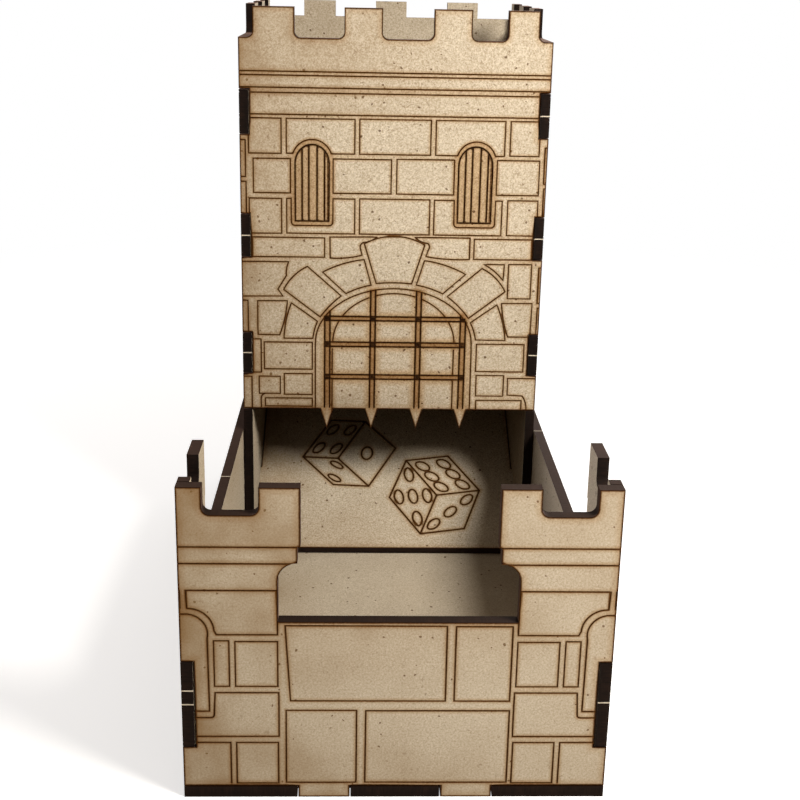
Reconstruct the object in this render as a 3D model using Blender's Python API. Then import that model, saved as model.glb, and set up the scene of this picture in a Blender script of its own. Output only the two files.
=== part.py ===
"""Castle dice tower: slotted sheet panels, one object for each cut piece.

Metres, +Z up. The origin is on the ground under the middle of the tray and the front faces -Y.
"""

import math
from collections import namedtuple

import bmesh
import bpy

# Board and joints
SHEET = 0.003  # thickness of every panel
FIT = 0.0003  # clearance round every joint
FINGER_WIDTH = 0.0127  # fingers that stand in the edge of the base
TAB_HEIGHT = 0.0138  # tabs along the upright edges of the tower
WALL_TAB_BOTTOM = 0.0147
WALL_TAB_HEIGHT = 0.0232

# Tray
TRAY_WIDTH = 0.105
WALL_TOP = 0.0838
RAIL_TOP = 0.049
CORNER_MERLON = 0.006
WALL_CRENEL = 0.0133
POST_WIDTH = 0.0097
WALL_CRENEL_DROP = 0.007
BAND_DROP = 0.0152  # from the wall top down to the moulding
BAND_HEIGHT = 0.0042
BAND_STEP = 0.0007
COVE_WIDTH = 0.0047
COVE_ROUND = 0.0045
CRENEL_ROUND = 0.002

# Tower
TOWER_SETBACK = 0.124  # from the tray's front face to the tower's
TOWER_DEPTH = 0.09
TOWER_TOP = 0.1886
MOUTH_TOP = 0.0568
TOWER_CRENEL_DROP = 0.0094
BACK_CRENEL_DROP = 0.0058
SPIKE_WIDTH = 0.0044
SPIKE_LENGTH = 0.0072

# Sloping boards inside the tower
RAMP_ANGLE = math.radians(31)
BAFFLE_ANGLE = math.radians(35)
LANE = 0.026  # free way past the low end of a baffle
BOARD_TAB = 0.012

# Places along an edge, as shares of half its length from the middle
FINGER_SHARES = (-0.338, 0.338)
FRONT_MERLON_SHARES = ((-0.908, -0.645), (-0.329, -0.086), (0.239, 0.482), (0.711, 0.909))
BACK_MERLON_SHARES = ((-0.671, -0.429), (-0.118, 0.118), (0.435, 0.669))
SPIKE_SHARES = (-0.432, -0.127, 0.18, 0.483)
# Places as shares of a whole length from its front or low end
WALL_FINGER_SHARES = (0.3, 0.76)
BASE_TAB_SHARES = (0.2, 0.8)
BOARD_TAB_SHARES = (0.28, 0.74)
SIDE_MERLON_SHARES = ((0.295, 0.424), (0.606, 0.735), (0.916, 1.0))
# Heights as shares of the front panel, from the mouth up to its crenels
TAB_SHARES = (0.104, 0.43, 0.756)
LOWER_BAFFLE_SHARE = 0.451
UPPER_BAFFLE_SHARE = 0.843

ARC_STEPS = 6
FACE_COLOUR = (0.61, 0.455, 0.285, 1.0)
SHADED_COLOUR = (0.52, 0.39, 0.25, 1.0)

# Derived places
TRAY_DEPTH = TOWER_SETBACK + TOWER_DEPTH
HALF_WIDTH = TRAY_WIDTH / 2
HALF_DEPTH = TRAY_DEPTH / 2
TOWER_HALF = HALF_WIDTH - SHEET - FIT
TOWER_INNER = TOWER_HALF - SHEET
TOWER_FRONT = TOWER_SETBACK - HALF_DEPTH
STANDING = SHEET + FIT  # height of whatever stands on the base
WALL_CRENEL_LEVEL = WALL_TOP - WALL_CRENEL_DROP
TOWER_CRENEL_LEVEL = TOWER_TOP - TOWER_CRENEL_DROP
BACK_CRENEL_LEVEL = TOWER_TOP - BACK_CRENEL_DROP
FRONT_HEIGHT = TOWER_CRENEL_LEVEL - MOUTH_TOP
TAB_LEVELS = [MOUTH_TOP + share * FRONT_HEIGHT for share in TAB_SHARES]
LOWER_BAFFLE_TOP = MOUTH_TOP + LOWER_BAFFLE_SHARE * FRONT_HEIGHT
UPPER_BAFFLE_TOP = MOUTH_TOP + UPPER_BAFFLE_SHARE * FRONT_HEIGHT

Slope = namedtuple("Slope", "start height angle length")
BAFFLE_RUN = TOWER_DEPTH - 2 * STANDING - LANE
RAMP = Slope(0, STANDING, RAMP_ANGLE, (TOWER_DEPTH - STANDING) / math.cos(RAMP_ANGLE))
LOWER_BAFFLE = Slope(STANDING, LOWER_BAFFLE_TOP, -BAFFLE_ANGLE, BAFFLE_RUN / math.cos(BAFFLE_ANGLE))
UPPER_BAFFLE = Slope(
    STANDING + LANE,
    UPPER_BAFFLE_TOP - BAFFLE_RUN * math.tan(BAFFLE_ANGLE),
    BAFFLE_ANGLE,
    BAFFLE_RUN / math.cos(BAFFLE_ANGLE),
)


def rounded(outline):
    """Points of an outline whose corners (across, up, radius) are turned into arcs."""
    points = []
    for index, corner in enumerate(outline):
        if len(corner) == 2:
            points.append(corner)
            continue
        across, up, radius = corner
        before = outline[index - 1]
        after = outline[(index + 1) % len(outline)]
        into = math.atan2(up - before[1], across - before[0])
        out = math.atan2(after[1] - up, after[0] - across)
        turn = (out - into + math.pi) % math.tau - math.pi
        side = math.copysign(radius, turn)
        reach = radius * abs(math.tan(turn / 2))
        centre_across = across - reach * math.cos(into) - side * math.sin(into)
        centre_up = up - reach * math.sin(into) + side * math.cos(into)
        for step in range(ARC_STEPS + 1):
            angle = into + turn * step / ARC_STEPS
            points.append((centre_across + side * math.sin(angle), centre_up - side * math.cos(angle)))
    return points


def panel(name, outline, holes, location, rotation, colour):
    """One sheet of board cut to an outline, with its holes, stood where it belongs."""
    mesh = bpy.data.meshes.new(name)
    bm = bmesh.new()
    edges = []
    for loop in (outline, *holes):
        ring = [bm.verts.new((across, up, 0)) for across, up in rounded(loop)]
        edges += [bm.edges.new((ring[index - 1], ring[index])) for index in range(len(ring))]
    filled = bmesh.ops.triangle_fill(bm, use_beauty=True, edges=edges)
    faces = [item for item in filled["geom"] if isinstance(item, bmesh.types.BMFace)]
    raised = bmesh.ops.extrude_face_region(bm, geom=faces, use_keep_orig=True)
    lifted = [item for item in raised["geom"] if isinstance(item, bmesh.types.BMVert)]
    bmesh.ops.translate(bm, vec=(0, 0, SHEET), verts=lifted)
    bmesh.ops.recalc_face_normals(bm, faces=bm.faces)
    bm.to_mesh(mesh)
    bm.free()
    item = bpy.data.objects.new(name, mesh)
    item.location = location
    item.rotation_euler = rotation
    bpy.context.collection.objects.link(item)
    mesh.materials.append(board_material(name, colour))
    return item


def board_material(name, colour):
    """Raw fibreboard, matt and non-metallic."""
    material = bpy.data.materials.new(name)
    material.use_nodes = True
    shader = material.node_tree.nodes["Principled BSDF"]
    shader.inputs["Base Color"].default_value = colour
    shader.inputs["Roughness"].default_value = 0.8
    shader.inputs["Metallic"].default_value = 0.0
    return material


def rectangle(left, bottom, right, top):
    return [(left, bottom), (right, bottom), (right, top), (left, top)]


def mirrored(half):
    """A whole outline from its right half, given from the bottom up."""
    left = [(-corner[0], *corner[1:]) for corner in reversed(half) if corner[0] > 0]
    return half + left


def wall_crest(edge):
    """Battlement and moulded step of the tray wall, from the outer corner inwards to the rail."""
    crenel = edge - CORNER_MERLON
    post = crenel - WALL_CRENEL
    jamb = post - POST_WIDTH
    step = jamb + BAND_STEP
    cove = step + COVE_WIDTH
    band = WALL_TOP - BAND_DROP
    return [
        (crenel, WALL_TOP),
        (crenel, WALL_CRENEL_LEVEL, CRENEL_ROUND),
        (post, WALL_CRENEL_LEVEL, CRENEL_ROUND),
        (post, WALL_TOP),
        (jamb, WALL_TOP),
        (jamb, band),
        (step, band),
        (step, band - BAND_HEIGHT),
        (cove, band - BAND_HEIGHT, COVE_ROUND),
        (cove, RAIL_TOP),
    ]


def battlement(shares, half, crest, level, rounding=()):
    """Merlons of a tower panel, from right to left, with any rounding of the crenel corners."""
    points = []
    for left, right in reversed(shares):
        points += [
            (right * half, level, *rounding),
            (right * half, crest),
            (left * half, crest),
            (left * half, level, *rounding),
        ]
    return points


def notches(edge, inner, bottoms, height):
    """Open notches in an upright edge, from the bottom up."""
    points = []
    for bottom in bottoms:
        low = bottom - FIT
        high = bottom + height + FIT
        points += [(edge, low), (inner, low), (inner, high), (edge, high)]
    return points


def feet(centres, foot):
    """Bottom edge of a standing panel with its fingers down to the ground, from left to right."""
    points = []
    for centre in centres:
        left = centre - FINGER_WIDTH / 2
        right = centre + FINGER_WIDTH / 2
        points += [(left, foot), (left, 0), (right, 0), (right, foot)]
    return points


def base_notches(centres, edge, inward):
    """Notches along one edge of the base, in order of the centres given."""
    points = []
    heading = 1 if centres[-1] > centres[0] else -1
    for centre in centres:
        near = centre - heading * (FINGER_WIDTH / 2 + FIT)
        far = centre + heading * (FINGER_WIDTH / 2 + FIT)
        points += [(near, edge), (near, inward), (far, inward), (far, edge)]
    return points


def slope_slots(slope):
    """Slots in a tower side for the tabs of a sloping board."""
    slots = []
    cosine = math.cos(slope.angle)
    sine = math.sin(slope.angle)
    for share in BOARD_TAB_SHARES:
        middle = slope.length * share
        box = rectangle(
            middle - BOARD_TAB / 2 - FIT, -FIT, middle + BOARD_TAB / 2 + FIT, SHEET + FIT
        )
        slots.append(
            [
                (slope.start + along * cosine - out * sine, slope.height + along * sine + out * cosine)
                for along, out in box
            ]
        )
    return slots


def slope_board(name, slope):
    """A board across the tower with tabs that go through both tower sides."""
    half = TOWER_INNER - FIT
    right = [(half, 0)]
    for share in BOARD_TAB_SHARES:
        low = slope.length * share - BOARD_TAB / 2
        high = low + BOARD_TAB
        right += [(half, low), (TOWER_HALF, low), (TOWER_HALF, high), (half, high)]
    right.append((half, slope.length))
    location = (0, TOWER_FRONT + slope.start, slope.height)
    return panel(name, mirrored(right), (), location, (slope.angle, 0, 0), SHADED_COLOUR)


def finger_centres(half):
    return [share * half for share in FINGER_SHARES]


def wall_finger_centres():
    """Fingers of a side wall, measured from the front face; the last is beside the tower."""
    front = [share * TOWER_SETBACK for share in WALL_FINGER_SHARES]
    return [*front, TOWER_SETBACK + TOWER_DEPTH / 2]


def tower_foot_centres():
    """Tabs under a tower side, measured from the tower's face."""
    return [share * TOWER_DEPTH for share in BASE_TAB_SHARES]


def base_plate():
    inner_x = HALF_WIDTH - STANDING
    inner_y = HALF_DEPTH - STANDING
    across = finger_centres(HALF_WIDTH)
    along = [centre - HALF_DEPTH for centre in wall_finger_centres()]
    front = base_notches(across, -HALF_DEPTH, -inner_y)
    rear = base_notches(across[::-1], HALF_DEPTH, inner_y)
    right = [(x, y) for y, x in base_notches(along, HALF_WIDTH, inner_x)]
    left = [(x, y) for y, x in base_notches(along[::-1], -HALF_WIDTH, -inner_x)]
    outline = [
        (-HALF_WIDTH, -HALF_DEPTH),
        *front,
        (HALF_WIDTH, -HALF_DEPTH),
        *right,
        (HALF_WIDTH, HALF_DEPTH),
        *rear,
        (-HALF_WIDTH, HALF_DEPTH),
        *left,
    ]
    slots = []
    for centre in tower_foot_centres():
        low = TOWER_FRONT + centre - FINGER_WIDTH / 2 - FIT
        high = TOWER_FRONT + centre + FINGER_WIDTH / 2 + FIT
        slots.append(rectangle(TOWER_INNER - FIT, low, TOWER_HALF + FIT, high))
        slots.append(rectangle(-TOWER_HALF - FIT, low, -TOWER_INNER + FIT, high))
    return panel("base_plate", outline, slots, (0, 0, 0), (0, 0, 0), FACE_COLOUR)


def tray_front_wall():
    side = notches(HALF_WIDTH, HALF_WIDTH - STANDING, [WALL_TAB_BOTTOM], WALL_TAB_HEIGHT)
    half = [(HALF_WIDTH, STANDING), *side, (HALF_WIDTH, WALL_TOP), *wall_crest(HALF_WIDTH)]
    outline = feet(finger_centres(HALF_WIDTH), STANDING) + mirrored(half)
    location = (0, SHEET - HALF_DEPTH, 0)
    return panel("tray_front_wall", outline, (), location, (math.pi / 2, 0, 0), FACE_COLOUR)


def tray_side_wall(name, left_face):
    """Side wall seen in its own plane: front to rear, then up."""
    crest = [(-corner[0], *corner[1:]) for corner in wall_crest(0)]
    tab_top = WALL_TAB_BOTTOM + WALL_TAB_HEIGHT
    rear = TRAY_DEPTH - STANDING
    outline = [
        (STANDING, STANDING),
        *feet(wall_finger_centres(), STANDING),
        (rear, STANDING),
        (rear, WALL_TAB_BOTTOM),
        (TRAY_DEPTH, WALL_TAB_BOTTOM),
        (TRAY_DEPTH, tab_top),
        (rear, tab_top),
        (rear, RAIL_TOP),
        *reversed(crest),
        (STANDING, WALL_TOP),
        (STANDING, tab_top),
        (0, tab_top),
        (0, WALL_TAB_BOTTOM),
        (STANDING, WALL_TAB_BOTTOM),
    ]
    turn = (math.pi / 2, 0, math.pi / 2)
    return panel(name, outline, (), (left_face, -HALF_DEPTH, 0), turn, FACE_COLOUR)


def tower_front_panel():
    side = notches(TOWER_HALF, TOWER_INNER - FIT, TAB_LEVELS, TAB_HEIGHT)
    bottom = [(-TOWER_HALF, MOUTH_TOP)]
    for share in SPIKE_SHARES:
        centre = share * TOWER_HALF
        bottom += [
            (centre - SPIKE_WIDTH / 2, MOUTH_TOP),
            (centre, MOUTH_TOP - SPIKE_LENGTH),
            (centre + SPIKE_WIDTH / 2, MOUTH_TOP),
        ]
    outline = [
        *bottom,
        (TOWER_HALF, MOUTH_TOP),
        *side,
        (TOWER_HALF, TOWER_CRENEL_LEVEL),
        *battlement(FRONT_MERLON_SHARES, TOWER_HALF, TOWER_TOP, TOWER_CRENEL_LEVEL, (CRENEL_ROUND,)),
        (-TOWER_HALF, TOWER_CRENEL_LEVEL),
        *[(-across, up) for across, up in reversed(side)],
    ]
    location = (0, TOWER_FRONT + SHEET, 0)
    return panel("tower_front_panel", outline, (), location, (math.pi / 2, 0, 0), FACE_COLOUR)


def tower_back_panel():
    wall_notch = notches(HALF_WIDTH, HALF_WIDTH - STANDING, [WALL_TAB_BOTTOM], WALL_TAB_HEIGHT)
    side = notches(TOWER_HALF, TOWER_INNER - FIT, TAB_LEVELS, TAB_HEIGHT)
    shoulder = TOWER_TOP - TAB_HEIGHT - FIT
    right = [
        (HALF_WIDTH, STANDING),
        *wall_notch,
        (HALF_WIDTH, RAIL_TOP),
        (TOWER_HALF, RAIL_TOP),
        *side,
        (TOWER_HALF, shoulder),
        (TOWER_INNER - FIT, shoulder),
        (TOWER_INNER - FIT, BACK_CRENEL_LEVEL),
    ]
    outline = [
        *feet(finger_centres(HALF_WIDTH), STANDING),
        *right,
        *battlement(BACK_MERLON_SHARES, TOWER_HALF, TOWER_TOP, BACK_CRENEL_LEVEL),
        *[(-across, up) for across, up in reversed(right)],
    ]
    location = (0, HALF_DEPTH, 0)
    return panel("tower_back_panel", outline, (), location, (math.pi / 2, 0, 0), SHADED_COLOUR)


def tower_side_panel(name, left_face):
    """Tower side seen in its own plane: front to rear, then up."""
    rear = TOWER_DEPTH - STANDING
    back_edge = []
    front_edge = []
    for level in TAB_LEVELS:
        top = level + TAB_HEIGHT
        back_edge += [(rear, level), (TOWER_DEPTH, level), (TOWER_DEPTH, top), (rear, top)]
        front_edge += [(STANDING, level), (0, level), (0, top), (STANDING, top)]
    crest = []
    for front, back in reversed(SIDE_MERLON_SHARES):
        if back < 1:
            crest += [
                (back * TOWER_DEPTH, TOWER_CRENEL_LEVEL, CRENEL_ROUND),
                (back * TOWER_DEPTH, TOWER_TOP),
            ]
        crest += [
            (front * TOWER_DEPTH, TOWER_TOP),
            (front * TOWER_DEPTH, TOWER_CRENEL_LEVEL, CRENEL_ROUND),
        ]
    outline = [
        (0, STANDING),
        *feet(tower_foot_centres(), STANDING),
        (rear, STANDING),
        *back_edge,
        (rear, TOWER_TOP - TAB_HEIGHT),
        (TOWER_DEPTH, TOWER_TOP - TAB_HEIGHT),
        (TOWER_DEPTH, TOWER_TOP),
        *crest,
        (STANDING, TOWER_CRENEL_LEVEL),
        *reversed(front_edge),
        (STANDING, MOUTH_TOP - FIT),
        (0, MOUTH_TOP - FIT),
    ]
    slots = slope_slots(RAMP) + slope_slots(LOWER_BAFFLE) + slope_slots(UPPER_BAFFLE)
    turn = (math.pi / 2, 0, math.pi / 2)
    return panel(name, outline, slots, (left_face, TOWER_FRONT, 0), turn, SHADED_COLOUR)


def main():
    for item in list(bpy.data.objects):
        bpy.data.objects.remove(item)
    base_plate()
    tray_front_wall()
    tray_side_wall("tray_left_wall", -HALF_WIDTH)
    tray_side_wall("tray_right_wall", HALF_WIDTH - SHEET)
    tower_front_panel()
    tower_back_panel()
    tower_side_panel("tower_left_panel", -TOWER_HALF)
    tower_side_panel("tower_right_panel", TOWER_INNER)
    slope_board("exit_ramp", RAMP)
    slope_board("lower_baffle", LOWER_BAFFLE)
    slope_board("upper_baffle", UPPER_BAFFLE)


if __name__ == "__main__":
    main()
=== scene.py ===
"""Dresses the castle dice tower: engraved fibreboard with charred laser-cut edges, lamps and camera."""

import math
import random

import bmesh
import bpy
from mathutils import Matrix, Vector
from mathutils.geometry import delaunay_2d_cdt


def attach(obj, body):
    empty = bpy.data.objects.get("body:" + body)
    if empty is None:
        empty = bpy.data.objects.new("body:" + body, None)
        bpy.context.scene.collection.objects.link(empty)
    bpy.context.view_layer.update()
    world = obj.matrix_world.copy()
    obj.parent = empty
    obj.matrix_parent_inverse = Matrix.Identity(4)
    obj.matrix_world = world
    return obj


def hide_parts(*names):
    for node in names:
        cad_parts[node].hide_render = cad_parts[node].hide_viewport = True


bl_info = {
    "name": "Castle dice tower",
    "version": (1, 0, 0),
    "blender": (4, 5, 0),
    "location": "View3D > Sidebar > Dice tower",
    "description": "Engraved board panels for a castle dice tower",
    "category": "Object",
}

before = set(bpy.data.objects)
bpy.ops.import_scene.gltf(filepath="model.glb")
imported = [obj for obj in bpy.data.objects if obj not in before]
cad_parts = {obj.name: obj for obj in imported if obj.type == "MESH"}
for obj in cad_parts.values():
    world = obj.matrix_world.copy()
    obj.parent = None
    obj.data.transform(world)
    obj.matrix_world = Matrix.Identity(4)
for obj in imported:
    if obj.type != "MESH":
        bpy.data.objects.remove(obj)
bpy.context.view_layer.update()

MM = 0.001
SHEET = 3.0  # board thickness, mm
GRID = 3.0  # spacing of the points inside a face, mm
GRID_SHIFT = (0.13, 0.17)  # keeps those points off the score lines, mm
ARC_STEP = 0.9  # length of one straight piece of an arc, mm
TOUCHING = 0.02  # points of a path nearer than this are one point, mm
MERGING = 0.003  # points of a face nearer than this are one point, mm
INNER_SHARE = 0.3  # where a second row of points lies inside a mark, as a share of its reach
ALIGNED = 0.99  # cosine from which two directions count as one
NICK_LENGTH = 0.35  # bridge that held a board in its sheet until it was snapped out, mm
LINE_SETS = ("Score lines", "Deep lines", "Toned strips", "Cut lines")
FINISHES = {
    "Face": "Sanded fibreboard",
    "Cut edge": "Charred cut edge",
    "Nick": "Snapped fibreboard",
    "Back": "Plain fibreboard back",
}
FINE_SHEET = "Finely sanded fibreboard"  # the tray's boards, of a smoother sheet than the tower's
OUTER, CUT, NICK, INNER = range(4)  # a face's part, in the order of the finishes

# The ways that the boards face
UP, FRONT, BACK, LEFT, RIGHT = (0, 0, 1), (0, -1, 0), (0, 1, 0), (-1, 0, 0), (1, 0, 0)
FORWARD_SLOPE, BACKWARD_SLOPE = (0, -0.55, 0.83), (0, 0.55, 0.83)

# Places on the boards are in mm: across from the object's middle, and up from the ground or from the low
# end of a sloping board. From the front to the back of a side, across runs from minus to plus on the right
# and the other way on the left.
REAR = 107.0  # the back of the object; its front is as far from the middle
TOWER_FACE = 17.0  # the front of the tower's sides
POST = 70.0  # just past the battlement of a tray side

# Heights of the stone courses on the tower, from the top down
COURSES = (
    (143.2, 154.4),
    (130.5, 141.7),
    (117.2, 128.8),
    (109.2, 115.9),
    (96.0, 107.6),
    (82.8, 94.4),
    (70.5, 80.2),
    (57.5, 68.6),
)
TRAY_COURSES = ((31.4, 43.8), (17.4, 29.7), (4.1, 15.7))
TOWER_BANDS = (168.9, 167.7, 163.9, 162.3, 155.5)
TRAY_BANDS = (68.6, 64.3)
TRAY_CAP = 45.6  # line under the rail of a tray side
JOINT = 1.6  # gap between two stones of a plain course


def linear(code, alpha=1.0):
    """Linear colour of an sRGB hex value."""
    values = [int(code[place : place + 2], 16) / 255 for place in (0, 2, 4)]
    return (*[v / 12.92 if v <= 0.04045 else ((v + 0.055) / 1.055) ** 2.4 for v in values], alpha)


# Score lines. A point is (x, y), or (x, y, rise) for an arc that ends there.


def box(left, bottom, right, top):
    """A rectangle as a closed path."""
    return [(left, bottom), (right, bottom), (right, top), (left, top), (left, bottom)]


def traced(path):
    """Points of a path with its arcs written out."""
    points = [Vector(path[0][:2])]
    for corner in path[1:]:
        end = Vector(corner[:2])
        if len(corner) == 3 and corner[2]:
            start = points[-1].copy()
            chord = end - start
            half = chord.length / 2
            rise = corner[2]
            radius = (half * half + rise * rise) / (2 * rise)
            normal = Vector((-chord.y, chord.x)).normalized()
            centre = (start + end) / 2 + normal * (rise - radius)
            first = math.atan2(start.y - centre.y, start.x - centre.x)
            turn = math.atan2(end.y - centre.y, end.x - centre.x) - first
            turn = (turn + math.pi) % math.tau - math.pi
            count = max(4, int(abs(turn) * abs(radius) / ARC_STEP))
            for step in range(1, count):
                angle = first + turn * step / count
                points.append(centre + abs(radius) * Vector((math.cos(angle), math.sin(angle))))
        points.append(end)
    return points


def oval(centre, across, up, start, stop, count):
    """Part of an ellipse, between two angles in degrees."""
    points = []
    for step in range(count + 1):
        angle = math.radians(start + (stop - start) * step / count)
        points.append((centre[0] + across * math.cos(angle), centre[1] + up * math.sin(angle)))
    return points


def behind(points, bars):
    """The stretches of a path that no bar covers."""
    stretches = [[]]
    for x, y in points:
        if any(left < x < right and low < y < high for left, low, right, high in bars):
            stretches.append([])
        else:
            stretches[-1].append((x, y))
    return [stretch for stretch in stretches if len(stretch) > 1]


def arch_stone(first, second, inner_first, inner_second, out_rise, in_rise):
    """An arch stone: its outer edge, then its inner edge back again."""
    return [first, (*second, out_rise), inner_first, (*inner_second, in_rise), first]


def window(middle, left, right):
    """Light lines round an arched window and the heavy lines of its bars."""
    sill, foot, course, spring, crown_foot = 119.8, 121.3, 128.7, 140.0, 143.2
    half, rise = 5.45, 6.1  # of the arched head
    round_off = 1.2
    crown = [(left + 0.6, crown_foot), (right - 0.6, crown_foot, 4.5)]
    opening = [(middle - 5.4, foot), (middle - half, spring)]
    opening += oval((middle, spring), half, rise, 180, 0, 16)[1:]
    opening += [(middle + 5.4, foot), (middle - 5.4, foot)]
    bars = []
    for place in (-3.2, -1.05, 1.6, 4.0):
        top = spring + rise * math.sqrt(1 - (place / half) ** 2)
        bars.append([(middle + place, foot), (middle + place, top)])
    round_sill = [(left, course), (left, sill + round_off), (left + round_off, sill, -0.35)]
    round_sill += [(right - round_off, sill), (right, sill + round_off, -0.35), (right, course)]
    return crown, round_sill, [opening, *bars]


def tower_front_scores():
    """Stones, arch, windows and portcullis of the tower front."""
    half = 49.2
    light = [[(-half, level), (half, level)] for level in TOWER_BANDS]
    left_crown, left_sill, left_bars = window(-26.2, -32.9, -19.5)
    right_crown, right_sill, right_bars = window(26.2, 19.7, 33.0)
    light += [
        left_crown,
        right_crown,
        box(-46.4, 143.1, -36.0, 154.3),
        [(-32.3, 143.2), (-34.4, 143.2), (-34.4, 154.3), (-12.6, 154.3), (-12.6, 143.2), (-20.1, 143.2)],
        box(-11.1, 143.2, 11.6, 154.4),
        [(20.3, 143.2), (13.2, 143.2), (13.2, 154.4), (35.3, 154.4), (35.3, 143.2), (32.4, 143.2)],
        box(37.0, 143.3, 46.4, 154.4),
        box(-45.0, 130.4, -33.1, 141.5),
        box(-19.5, 130.5, -0.8, 141.6),
        box(0.9, 130.5, 19.4, 141.8),
        box(33.1, 130.6, 46.8, 141.9),
        box(-46.4, 117.1, -36.0, 128.6),
        [*left_sill, (-12.4, 128.7), (-12.4, 117.2), (-34.4, 117.2), (-34.4, 128.6), (-32.9, 128.7)],
        box(-10.9, 117.2, 11.8, 128.8),
        [*right_sill, (35.2, 128.7), (35.2, 117.2), (13.2, 117.2), (13.2, 128.7), (19.7, 128.7)],
        box(37.0, 117.3, 46.8, 128.9),
        box(-50.0, 135.5, -47.4, 147.3),
        box(-50.0, 123.2, -47.3, 134.0),
        box(48.2, 134.4, 50.0, 146.1),
        box(48.4, 123.5, 50.0, 132.9),
        box(-45.6, 109.3, -22.1, 115.8),
        box(26.6, 109.2, 45.7, 116.0),
        [
            *[(-20.3, 109.2), (-20.4, 116.1), (-5.1, 116.3), (-9.6, 114.4, 0.4)],
            *[(-10.6, 112.9, -0.25), (-9.9, 110.2), (-20.3, 109.1, 0.45)],
        ],
        [
            *[(25.2, 109.3), (25.2, 116.4), (7.3, 116.3), (11.4, 114.4, -0.4)],
            *[(12.0, 112.9, 0.25), (10.9, 110.0), (25.2, 109.2, -0.45)],
        ],
        [(-50.0, 107.6), (-33.8, 107.7), (-34.6, 103.0, -0.3), (-37.4, 98.4), (-35.7, 96.0), (-50.0, 95.9)],
        arch_stone((-35.5, 98.3), (-27.7, 106.2), (-16.6, 96.3), (-23.5, 89.0), 0.9, -0.4),
        arch_stone((-22.8, 104.3), (-9.2, 108.7), (-6.8, 100.1), (-15.1, 97.1), 0.7, -0.35),
        arch_stone((-9.2, 114.0), (10.5, 113.8), (6.5, 100.7), (-5.2, 100.7), 2.7, -0.3),
        arch_stone((10.5, 108.6), (24.2, 104.1), (16.8, 97.4), (8.0, 100.3), 0.7, -0.35),
        arch_stone((29.5, 106.2), (37.4, 98.4), (25.6, 89.1), (18.3, 96.5), 0.9, -0.4),
        arch_stone((-35.5, 81.5), (-33.0, 93.8), (-24.4, 87.5), (-25.9, 81.6), 0.5, -0.25),
        arch_stone((34.9, 93.9), (38.1, 81.5), (28.2, 81.6), (26.3, 87.6), 0.5, -0.25),
        [(-44.1, 82.8), (-44.1, 94.4), (-34.3, 94.5), (-36.9, 82.7, 0.4), (-44.1, 82.8)],
        [(38.9, 82.8), (36.4, 94.4, 0.4), (46.6, 94.5), (46.3, 82.8), (38.9, 82.8)],
        [(30.0, 107.6), (36.8, 107.6), (36.6, 102.1), (30.0, 107.6, -0.5)],
        box(38.2, 96.0, 45.8, 107.7),
        box(48.1, 94.5, 50.0, 106.6),
        box(48.3, 83.5, 50.0, 92.9),
        box(-50.0, 83.4, -47.2, 94.5),
        box(-46.0, 69.6, -43.1, 81.2),
        box(-42.1, 70.8, -26.1, 80.2),
        box(28.6, 70.5, 44.6, 80.2),
        [(-50.0, 68.1), (-46.3, 68.1), (-46.3, 56.0)],
        box(-43.9, 62.1, -36.8, 68.2),
        [(-41.9, 62.1), (-43.3, 60.6, -0.3), (-43.2, 56.0)],
        box(-35.5, 61.8, -26.1, 69.2),
        box(-41.9, 57.6, -26.1, 60.5),
        box(28.9, 61.8, 38.2, 69.2),
        [(48.9, 68.2), (39.5, 68.2), (39.6, 62.2), (44.7, 62.0), (46.2, 56.0, 0.6)],
        [(29.1, 56.0), (29.1, 60.3), (44.5, 60.3), (44.5, 56.0)],
    ]
    # the arch, its soffit where no bar covers it, and the portcullis
    uprights = ((-22.0, -20.3), (-6.9, -5.3), (8.2, 9.8), (23.0, 24.7))
    rails = ((87.9, 89.3), (78.9, 80.4), (67.5, 69.0))
    first, last = uprights[0][0], uprights[-1][1]
    foot = 56.0
    centre = (0.85, 80.2)
    arch_half, arch_rise = 25.95, 18.8
    soffit_half, soffit_rise = 20.2, 17.1
    gate = [(left, 50.0, right, 100.0) for left, right in uprights]
    gate += [(first, low, last, high) for low, high in rails]
    ring = [(-25.1, foot), (-25.15, 78.0)]
    ring += oval(centre, arch_half, arch_rise, 178, 2, 40)
    ring += [(26.9, 78.0), (27.0, foot)]
    light.append(ring)
    soffit = [(-19.5, foot + step) for step in range(24)]
    soffit += oval(centre, soffit_half, soffit_rise, 178, 2, 80)
    soffit += [(20.95, 79.0 - step) for step in range(24)]
    light += behind(soffit, gate)
    heavy = left_bars + right_bars
    tones = []
    for pair in uprights:
        for place in pair:
            reach = math.sqrt(max(0.0, 1 - ((place - centre[0]) / arch_half) ** 2))
            heavy.append([(place, 57.3), (place, centre[1] + arch_rise * reach)])
    for low, high in rails:
        heavy.append([(first, low), (last, low)])
        heavy.append([(first, high), (last if high < 85 else uprights[-1][0], high)])
        tones.append([(-21.5, (low + high) / 2), (24.2, (low + high) / 2)])
        for left, right in uprights:  # a crossing is burnt all over
            for level in (low + 0.5, high - 0.5):
                heavy.append([(left + 0.3, level), (right - 0.3, level)])
    for left, right in uprights:
        middle = (left + right) / 2
        tones.append([(middle, 57.8), (middle, 90.0 if abs(left) > 15 else 98.0)])
    return light, heavy, tones


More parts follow.
